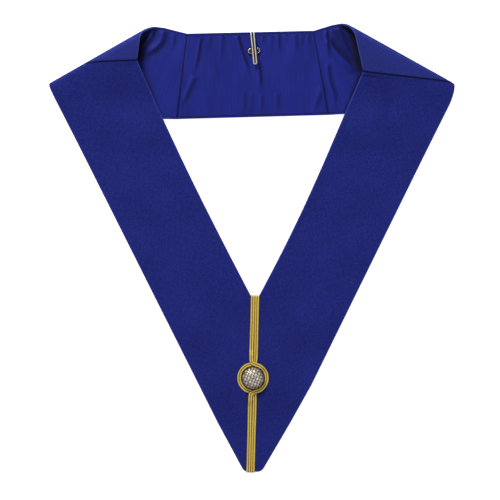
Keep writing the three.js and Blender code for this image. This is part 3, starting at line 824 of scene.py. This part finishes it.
def lining_sides(place, s, u, away):
    under = turned_edge(away["turned"], LINING_EDGE)
    fallen = np.maximum(under, 0.5 * turned_edge(away["seam"], LINING_SEAM))
    height, hollow, crest = tucked(place)
    x, y = place[:, 0] + shift.real, place[:, 1] + shift.imag
    drift = x + 4 * ripple(x, y, 61, 0.9)
    gathers = 0.2 * ripple(drift, 0.16 * y, 14, 0.3) * np.exp(-away["turned"] / 16)
    gathers = gathers * (1 + 0.7 * ripple(x, y, 33, 2.2))
    loose = smooth(np.minimum(away["turned"], away["seam"] * 1.6), 0, 5)
    rise = (height + gathers + 0.18 * ripple(x, y, 44, 1.9)) * loose
    # Painted shade from the layer above and in the tucks' hollows, less a painted highlight on their
    # ridges.
    shade = np.maximum(covered(place), hollow * smooth(away["turned"], 0, 2))
    marks = {"shade": shade - 0.25 * crest * (1 - shade)}
    return OUTER + GAP + under, STACK - fallen + np.maximum(rise, -0.4), marks


def lining_finish():
    finish = Finish("blue_lining", {
        "Roughness": 0.6, "Sheen Weight": 0.06, "Sheen Roughness": 0.4,
        "Sheen Tint": dye(90, 105, 230), "Specular IOR Level": 0.16,
    })
    place = finish.cloth_place()
    along, over = finish.parts(place)
    warp = along.wave(LINING_THREAD) * 0.6 + over.wave(LINING_THREAD) * 0.4
    streak = finish.noise(place, 2.1, 3.0, (1, 0.06, 1))
    cloud = finish.noise(place, 30, 2.0, (1, 0.4, 1))
    share = streak * 0.7 + cloud * 0.7 + warp * 0.11 - 0.2
    colour = finish.blend(share, LINING_DARK, LINING_LIGHT)
    # Painted highlight on the tucks' ridges; painted shade along the seams, in the hollows and where
    # a layer or panel keeps the light off.
    shade = finish.stored("shade")
    colour = finish.blend((0 - shade).within(0, 1), colour, LINING_HIGHLIGHT)
    seam_shade = 1 - finish.stored("from_seam").within(0.3, 1.9)
    colour = finish.blend((shade + seam_shade * 0.75).within(0, 1), colour, LINING_SHADE)
    relief = warp * 0.4 + streak * 0.9
    return finish.use(base_color=colour, normal=finish.bump(relief, 0.0001, 0.6))


lining_cloth = lining_finish()
back_seam = SEAM / 2 + LINING_SHIFT
lining_outline = (inset(back_corners, [back_seam, HEM, back_seam, HEM]), back_kinds)
lining_jobs = [("lining_back", Table(), lining_outline, 0, "laid", "back_neck_piece")]
for roll, outline in zip(rolls, outlines):
    side = roll.side["name"]
    lining_jobs.append((f"lining_shoulder_{side}", roll, outline["lining"], back_grains[side],
                        "folded", f"shoulder_piece_{side}"))
for node, lay, outline, grain, held, bed in lining_jobs:
    lining, cut_size, area = lay_cloth(f"{node}_cloth", lay, outline, lining_sides,
                                       {"turned": LINING_EDGE, "seam": LINING_SEAM}, 1.5, grain)
    settle(lining)
    lining.data.materials.append(lining_cloth)
    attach(lining, "root")
    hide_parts(node)


# Slip stitches: dark blue thread that holds the folded edges of the outer cloth to the lining, in
# small slanted stitches all round.
STITCH_PITCH = 4.4
STITCH_THREAD = 0.4
STITCH_ACROSS = 0.85
STITCH_SLANT = 0.6
STITCH_HEIGHT = 2.4
STITCH_CLIMB = 0.15
STITCH_BOW = 0.45
THREAD_DARK = dye(14, 17, 60)
THREAD_LIGHT = dye(38, 46, 120)


def tube_faces(start, steps, count):
    """The faces between rings of points that follow one another from the point start."""
    return [(i + j, i + k, i + count + k, i + count + j)
            for i in range(start, start + (steps - 1) * count, count)
            for j, k in edges(range(count))]


def stitched(name, rows, thickness):
    """One mesh of short round threads, each through its own row of points."""
    corners, faces, sides = [], [], 6
    turns = np.arange(sides) * 2 * math.pi / sides
    for row in rows:
        ahead = np.gradient(row, axis=0)
        across = np.cross(ahead, (0, 0, 1))
        across /= np.linalg.norm(across, axis=1)[:, None]
        up = np.cross(across, ahead)
        up /= np.linalg.norm(up, axis=1)[:, None]
        ring = across[:, None] * np.cos(turns)[:, None] + up[:, None] * np.sin(turns)[:, None]
        start = len(corners)
        corners += list((row[:, None] + ring * thickness / 2).reshape(-1, 3))
        end = len(corners)
        faces += tube_faces(start, len(row), sides)
        faces += [tuple(range(start, start + sides)), tuple(range(end - sides, end))]
    return closed_piece(name, corners, faces)


def thread_finish():
    finish = Finish("sewing_thread", {"Roughness": 0.7, "Sheen Weight": 0.1})
    ply = finish.noise(finish.object_place(), 0.0005, 1.0)
    return finish.use(base_color=finish.blend(ply, THREAD_DARK, THREAD_LIGHT))


thread_blue = thread_finish()
rows = []
for node, lay, (corners, kinds), *_ in lining_jobs:
    turn = math.copysign(1, twice_area(corners))
    for (p, q), kind in zip(edges(corners), kinds):
        along = (q - p) / abs(q - p)
        if kind == "turned":
            for far in np.arange(STITCH_PITCH / 2, abs(q - p) - STITCH_PITCH / 3, STITCH_PITCH):
                share = np.linspace(-1, 1, 5)
                slant = STITCH_SLANT + 1j * turn * STITCH_ACROSS
                spots = p + along * (far + share * slant)
                place, normal = laid(lay, spots.real, spots.imag)
                rise = STITCH_HEIGHT + STITCH_CLIMB * share + STITCH_BOW * (1 - share**2)
                rows.append(place + normal * rise[:, None])
stitches = stitched("slip_stitches", rows, STITCH_THREAD)
settle(stitches)
stitches.data.materials.append(thread_blue)
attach(stitches, "root")


# Braid: two flat gilt braids side by side down the centre seam, each of two plaited cords with a
# groove between them. The one from the left passes over the other above and below the button, and
# together they ring it. Their ends are turned down at the notch and under the point.
BRAID_WIDTH = 5
BRAID_THICKNESS = 1.6
BRAID_LANE = 2.53
BRAID_BED = 2.5
BRAID_RISE = 9.5
BRAID_PAST_POINT = 0.9
BRAID_TURN = 2.6
RING_RADIUS = 16.1
RING_BEND = 7
RING_MEET = 1
CROSSING = 20
CROSSING_RAMP = 8
PLAIT = 1.3
PLAIT_SLANT = 0.85
PLAIT_RELIEF = 0.2
PLAIT_STITCH = 3.9
GROOVE = 0.42
GILT_HIGHLIGHT = dye(255, 236, 132)
GILT_MAIN = dye(208, 168, 34)
GILT_DARK = dye(96, 66, 2)


def swept(name, rings, flat, high):
    """A closed solid through rings of points, with each end closed by a fan."""
    steps, count = rings.shape[:2]
    first, base = steps * count, (steps - 1) * count
    faces = tube_faces(0, steps, count)
    faces += [(first, k, j) for j, k in edges(range(count))]
    faces += [(first + 1, base + j, base + k) for j, k in edges(range(count))]
    points, spread = [np.concatenate([own.reshape(-1, own.shape[2]), own[[0, -1]].mean(axis=1)])
                      for own in (rings, flat)]
    piece = closed_piece(name, points, faces)
    mark(piece.data, spread, {"high": [*high.ravel(), 0.3, 0.3]})
    return piece


def braid_finish():
    finish = Finish("gilt_braid", {"Roughness": 0.5, "Specular IOR Level": 0.45})
    place = finish.cloth_place()
    along, over = finish.parts(place)
    high = finish.stored("high")
    strand = finish.noise(place, 0.5, 2.0)
    patina = finish.noise(place, 9, 2.0)
    stitch = along.wave(PLAIT_STITCH).within(0.6, 0.95) * (1 - high.within(0.25, 0.6))
    # Painted highlight on the tops of the cords; painted shade in the grooves, along the edges and
    # between the wraps.
    lit = high.within(0.5, 0.98) * (strand * 0.5 + 0.45 + patina * 0.35)
    colour = finish.blend(lit, GILT_MAIN, GILT_HIGHLIGHT)
    colour = finish.blend(high.within(0.2, 0.75) * (1 - stitch * 0.6), GILT_DARK, colour)
    return finish.use(base_color=colour, metallic=high * 0.3 + 0.1)


gilt = braid_finish()
lean = cmath.phase((centre["notch"] - centre["seam_end"]) / 1j)
top_run = abs(centre["notch"] - ring_centre) + BRAID_RISE
bottom_run = abs(ring_centre - centre["seam_end"]) + BRAID_PAST_POINT
bend, meet = RING_RADIUS + RING_BEND, RING_RADIUS + RING_MEET
ring_knots = [step(0, degrees, RING_RADIUS) for degrees in (60, 36, 12, -12, -36, -60)]
braid_knots = [
    *[(-BRAID_LANE, y) for y in (top_run, mix(bend, top_run, 0.5), bend)],
    (0, meet), *[(knot.real, knot.imag) for knot in ring_knots], (0, -meet),
    *[(-BRAID_LANE, -y) for y in (bend, mix(bend, bottom_run, 0.5), bottom_run)],
]
top = np.linspace(-1, 1, 19)
cord = np.sqrt(np.clip(1 - ((np.abs(top) - 0.5) / 0.51) ** 2, 0, 1))
lobe = mix(GROOVE, 1, cord)
for name, side in (("left", 1), ("right", -1)):
    path, along = smooth_path([(x * side, y) for x, y in braid_knots], 0.17)
    ahead = np.gradient(path, axis=0)
    ahead /= np.linalg.norm(ahead, axis=1)[:, None]
    meets = along[1:][np.sign(path[1:, 0]) != np.sign(path[:-1, 0])]
    far = np.min(np.abs(along[:, None] - meets[None, :]), axis=1)
    over = (1 - smooth(far, CROSSING / 2, CROSSING / 2 + CROSSING_RAMP)) * (side > 0)
    turned_down = turned_edge(np.minimum(along, along[-1] - along), BRAID_TURN)
    base = BRAID_BED + over * (BRAID_THICKNESS + 0.1) - 0.85 * turned_down
    wraps = np.abs(np.sin(math.pi * (along[:, None] / PLAIT + PLAIT_SLANT * np.abs(top)[None, :])))
    flank = np.clip((1 - np.abs(top)) * 6, 0.25, 1)[None, :]
    height = BRAID_THICKNESS * lobe[None, :] + PLAIT_RELIEF * (wraps - 0.7) * flank
    offset = np.concatenate([top * (1 + 0.03 * np.sign(top)), [0.9, 0, -0.9]]) * BRAID_WIDTH / 2
    foot = np.zeros((len(along), 3))
    up = np.concatenate([height, foot], axis=1) + base[:, None]
    wobble = 1 + 0.035 * (wraps[:, [0]] - 0.5)
    x = path[:, [0]] - ahead[:, [1]] * offset[None, :] * wobble
    y = path[:, [1]] + ahead[:, [0]] * offset[None, :] * wobble
    flat = (x + 1j * y) * cmath.exp(1j * lean) + ring_centre
    rings = np.stack([flat.real, flat.imag, up], axis=-1)
    flat = np.stack(np.broadcast_arrays(along[:, None], offset[None, :]), axis=-1)
    high = np.concatenate([cord[None, :] * mix(0.45, 1, wraps), foot], axis=1)
    braid = swept(f"braid_{name}_gilt", rings, flat, high)
    settle(braid)
    braid.data.materials.append(gilt)
    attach(braid, "root")
    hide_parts(f"braid_{name}")


# Button: a domed mould covered in a basket weave of flat silver wire, three wires to a strand, and
# sewn down in the middle of the ring.
BUTTON_RADIUS = 12.9
BUTTON_HEIGHT = 8.4
BUTTON_RIM = 2.0
BUTTON_BED = 2.6
STRAND = 3.3
STRAND_TURN = 22
STRAND_RELIEF = 0.55
RIM_STEPS = ((0.985, 0.7), (0.93, 0.75), (0.8, 0.45))
SILVER_HIGHLIGHT = dye(255, 250, 236)
SILVER_MAIN = dye(176, 160, 140)
SILVER_DARK = dye(52, 42, 30)
SILVER_RIM_SHADE = dye(116, 88, 74)


def basket(x, y):
    """Height of the weave: strands of three wires that pass over and under one another."""
    cell = (x + 1j * y) * heading(STRAND_TURN) / STRAND
    u, v = cell.real, cell.imag
    upper = (np.floor(u) + np.floor(v)) % 2 > 0.5
    run, over = np.where(upper, u, v) % 1 - 0.5, np.where(upper, v, u) % 1 - 0.5
    hump = np.cos(math.pi * run * 0.96) ** 0.6
    crown = np.sqrt(np.clip(1 - (2.02 * over) ** 2, 0, 1))
    wires = np.abs(np.cos(3 * math.pi * over))
    cell_tone = 0.5 + 0.5 * np.sin(12.9 * np.floor(u) + 78.2 * np.floor(v))
    # The tone: strands on top running one way are made brighter for the painted highlight, with a
    # random share per cell.
    return hump * (0.6 + 0.3 * crown) + 0.1 * wires * hump, 0.55 * upper + 0.45 * cell_tone


def places_of(mesh):
    """Where the points of a mesh are, in millimetres."""
    spots = np.empty(len(mesh.vertices) * 3)
    mesh.vertices.foreach_get("co", spots)
    return spots.reshape(-1, 3) * 1000


bpy.ops.object.select_all(action="DESELECT")
bpy.ops.mesh.primitive_ico_sphere_add(subdivisions=7, radius=BUTTON_RADIUS * 0.001)
button = bpy.context.object
button.name = button.data.name = "button_silver"
bpy.ops.object.mode_set(mode="EDIT")
bpy.ops.mesh.select_all(action="SELECT")
bpy.ops.mesh.bisect(plane_co=(0, 0, 0), plane_no=(0, 0, 1), clear_inner=True, use_fill=False)
bpy.ops.mesh.select_all(action="SELECT")
bpy.ops.transform.resize(value=(1, 1, (BUTTON_HEIGHT - BUTTON_RIM) / BUTTON_RADIUS))
bpy.ops.mesh.select_all(action="DESELECT")
bpy.ops.mesh.select_non_manifold()
for narrow, drop in RIM_STEPS:
    bpy.ops.mesh.extrude_region_move(TRANSFORM_OT_translate={"value": (0, 0, -drop * 0.001)})
    bpy.ops.transform.resize(value=(narrow, narrow, 1))
bpy.ops.mesh.fill()
bpy.ops.object.mode_set(mode="OBJECT")
spots = places_of(button.data)
normals = spots / np.array([BUTTON_RADIUS, BUTTON_RADIUS, BUTTON_HEIGHT - BUTTON_RIM]) ** 2
normals /= np.linalg.norm(normals, axis=1)[:, None]
relief, tone = basket(spots[:, 0], spots[:, 1])
relief *= 1 - smooth(-spots[:, 2], 0.2, 1.0)
rim = np.hypot(spots[:, 0], spots[:, 1]) / BUTTON_RADIUS
spots += normals * ((relief - 1) * STRAND_RELIEF)[:, None]
spots += np.array([ring_centre.real, ring_centre.imag, BUTTON_BED + BUTTON_RIM - 0.1])
button.data.vertices.foreach_set("co", (spots * 0.001).ravel())
mark(button.data, [], {"high": relief, "tone": tone, "rim": rim})
settle(button)
button.data.shade_smooth()
silver = Finish("woven_silver", {"Roughness": 0.34})
height = silver.stored("high")
place = silver.object_place()
tarnish = silver.noise(place, 0.0032, 2.0)
glint = silver.noise(place, 0.0011, 1.0)
# Painted highlight on the raised strands, brighter where the top strand runs one way, with a random
# glint.
lit = height.within(0.45, 0.9) * (silver.stored("tone") * 1.3 + glint * 1.1 - 0.5)
colour = silver.blend(lit.within(0, 1), SILVER_MAIN, SILVER_HIGHLIGHT)
# Painted shade, brownish, on the dome's lower sides toward its rim.
colour = silver.blend(silver.stored("rim").within(0.62, 1.0) * 0.75, colour, SILVER_RIM_SHADE)
# Darker in the gaps between the strands, partly tarnish and partly painted shade.
clear_of_tarnish_and_shade = height.within(0.3, 0.72) * (1 - tarnish.within(0.5, 0.8) * 0.5)
colour = silver.blend(clear_of_tarnish_and_shade, SILVER_DARK, colour)
button.data.materials.append(silver.use(base_color=colour, metallic=height * 0.3 + 0.2))
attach(button, "root")
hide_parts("button")


# Neck hook: a length of plated wire bent double, with an eyelet at each end. The eyelets are sewn to
# the lining, and the doubled arm turns over at the neck edge and comes down in front of them.
WIRE = 1.9
HOOK_LENGTH = 40
HOOK_OVERHANG = 1
HOOK_TURN = 5.6
HOOK_OFFSET = 2
EYELET = 7.2
EYELET_DROP = 23.2
ARM_HEIGHT = 4.3
ARM_SPREAD = 1.3
ARM_BOW = 0.35
CORE_WIDTH = (0.75, 1.35)
STEM = (WIRE + GAP) / 2
EYE_RADIUS = (EYELET - WIRE) / 2
EYE_CENTRE = complex(STEM + EYE_RADIUS, -EYELET_DROP)
HOOK_LIFT = STACK + WIRE / 2 + 0.1
PLATE_LIGHT = dye(252, 250, 242)
PLATE_WARM = dye(240, 214, 160)
CORE_TOP = dye(58, 54, 34)
CORE_LOW = dye(176, 134, 70)
PLATE_UNDERSIDE_SHADE = dye(40, 34, 30)
# The threads over each eyelet: their directions from its middle, and the points of each as its
# reach past the wire's middle and its rise.
EYELET_THREAD = 1.0
EYELET_TURNS = (-112, -78, -44, 8, 52)
EYELET_LOOP = ((-1.5, -0.95), (-1.35, 0.35), (-0.6, 1.2), (0.3, 1.22), (1.15, 0.4), (1.5, -0.95))


def hook_half():
    """The route of the wire's right half, from its eyelet up to the top and down to the tip."""
    arm, bend_radius = ARM_SPREAD * STEM, ARM_HEIGHT / 2
    bend_y, tip_y = -WIRE / 2 - bend_radius, -HOOK_LENGTH + WIRE / 2 + arm
    route = []
    for degrees in range(445, 184, -26):
        spot = step(EYE_CENTRE, degrees, EYE_RADIUS)
        route.append((spot.real, spot.imag, 0))
    route.append((STEM, mix(-EYELET_DROP, bend_y, 0.4), 0))
    for degrees in range(-90, 91, 30):
        turn = math.radians(degrees)
        x, y = mix(STEM, arm, (degrees + 90) / 180), bend_y + bend_radius * math.cos(turn)
        route.append((x, y, bend_radius * (1 + math.sin(turn))))
    route.append((arm, mix(bend_y, tip_y, 0.4), ARM_HEIGHT + ARM_BOW))
    route.append((arm, tip_y, ARM_HEIGHT - ARM_BOW))
    for turn in map(math.radians, (30, 60, 90)):
        route.append((arm * math.cos(turn), tip_y - arm * math.sin(turn), ARM_HEIGHT - ARM_BOW))
    return route


neck_y = (plans[0]["back_top"].imag + plans[1]["back_top"].imag) / 2
hook_origin = complex(HOOK_OFFSET, neck_y + HOOK_OVERHANG)


def bent(name, route, thickness):
    """A round wire or thread bent through points whose places are measured from the hook's top."""
    bpy.ops.object.select_all(action="DESELECT")
    bpy.ops.curve.primitive_bezier_curve_add()
    wire = bpy.context.object
    wire.name = wire.data.name = name
    spline = wire.data.splines[0]
    spline.bezier_points.add(len(route) - 2)
    for knot, (x, y, z) in zip(spline.bezier_points, route):
        spot = complex(x, y) * heading(HOOK_TURN) + hook_origin + shift
        knot.co = Vector((spot.real, spot.imag, z + HOOK_LIFT)) * 0.001
        knot.handle_left_type = knot.handle_right_type = "AUTO"
    wire.data.bevel_depth = thickness / 2000
    wire.data.bevel_resolution = 4
    wire.data.resolution_u = 6
    wire.data.use_fill_caps = True
    bpy.ops.object.convert(target="MESH")
    wire = bpy.context.object
    wire.data.shade_smooth()
    return wire


half = hook_half()
hook = bent("neck_hook_wire", half + [(-x, y, z) for x, y, z in half[-2::-1]], WIRE)
spots = places_of(hook.data)
own = (plane(spots) - hook_origin - shift) * heading(-HOOK_TURN)
# The inner sides of the two wires, which take the painted shade and reflection between them.
core = 1 - smooth(np.abs(own.real), *CORE_WIDTH)
# Painted shade on the lowest part of the wire, close to the cloth.
underside_shade = 1 - smooth(spots[:, 2], STACK + 0.6, STACK + 1.7)
down = smooth(-own.imag, 0.25 * HOOK_LENGTH, 0.6 * HOOK_LENGTH)
mark(hook.data, [], {"core": core, "underside_shade": underside_shade, "down": down})
plate = Finish("plate_wear_and_painted_shade", {"Metallic": 0.5, "IOR": 1.6})
place = plate.object_place()
rubbed = plate.noise(place, 0.004, 3.0)
drawn = plate.noise(place, 0.0006, 2.0, (1, 0.1, 1))
# Between the wires: painted shade, dark olive at the top, and a golden brown painted reflection
# lower down.
low = plate.stored("down")
hollow = plate.blend(low, CORE_TOP, CORE_LOW)
colour = plate.blend(low * 0.45, PLATE_LIGHT, PLATE_WARM)
# Painted shade and reflection on the wires' inner sides, with rubbed patches of wear in the same
# colour.
wear_and_painted_light = plate.stored("core") * 0.9 + rubbed.within(0.6, 0.8) * 0.3
colour = plate.blend(wear_and_painted_light.within(0, 1), colour, hollow)
# Painted shade on the wire's underside near the cloth.
colour = plate.blend(plate.stored("underside_shade") * 0.7, colour, PLATE_UNDERSIDE_SHADE)
hook.data.materials.append(plate.use(base_color=colour, roughness=drawn * 0.18 + 0.2))
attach(hook, "root")
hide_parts("neck_hook")

bars = []
for side in (1, -1):
    for degrees in EYELET_TURNS:
        route = []
        for reach, rise in EYELET_LOOP:
            spot = step(EYE_CENTRE, degrees, EYE_RADIUS + reach)
            route.append((spot.real * side, spot.imag, rise))
        bars.append(bent(f"eyelet_thread_{len(bars)}", route, EYELET_THREAD))
for bar in bars:
    bar.select_set(True)
bpy.context.view_layer.objects.active = bars[0]
bpy.ops.object.join()
bars[0].name = bars[0].data.name = "eyelet_threads"
bars[0].data.materials.append(thread_blue)
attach(bars[0], "root")


# The photographer's table: a plain pale top under soft light that comes mostly from beyond the
# neck end, with the camera straight above.
CAMERA_PLACE = (-0.00234, -0.00275, 2.4)
FRAME_WIDTH = 0.58525
SENSOR = 36
bpy.ops.object.select_all(action="DESELECT")
bpy.ops.mesh.primitive_plane_add(size=8, location=(0, 0, -0.0004))
table = bpy.context.object
table.name = "table_top"
paper = Finish("white_paper", {
    "Base Color": dye(250, 250, 250), "Roughness": 0.9,
    "Emission Color": dye(255, 255, 255), "Emission Strength": 0.8,
})
table.data.materials.append(paper.material)
for label, place, size, power in (
    ("window", (-0.8, 2.1, 1.6), 0.9, 60),
    ("fill", (0.9, -1.1, 2.0), 1.8, 8),
):
    bpy.ops.object.light_add(type="AREA", location=place)
    lamp = bpy.context.object
    lamp.name = label
    lamp.data.shape = "DISK"
    lamp.data.size = size
    lamp.data.energy = power
    lamp.rotation_euler = (Vector((0, 0, 0)) - lamp.location).to_track_quat("-Z", "Y").to_euler()
world = bpy.data.worlds.new("studio")
bpy.context.scene.world = world
world.use_nodes = True
world.node_tree.nodes["Background"].inputs["Color"].default_value = (1, 1, 1, 1)
world.node_tree.nodes["Background"].inputs["Strength"].default_value = 0.3
bpy.ops.object.camera_add(location=CAMERA_PLACE, rotation=(0, 0, 0))
camera = bpy.context.object
camera.data.sensor_width = SENSOR
camera.data.lens = SENSOR * CAMERA_PLACE[2] / FRAME_WIDTH
bpy.context.scene.camera = camera
bpy.context.scene.view_settings.view_transform = "Standard"
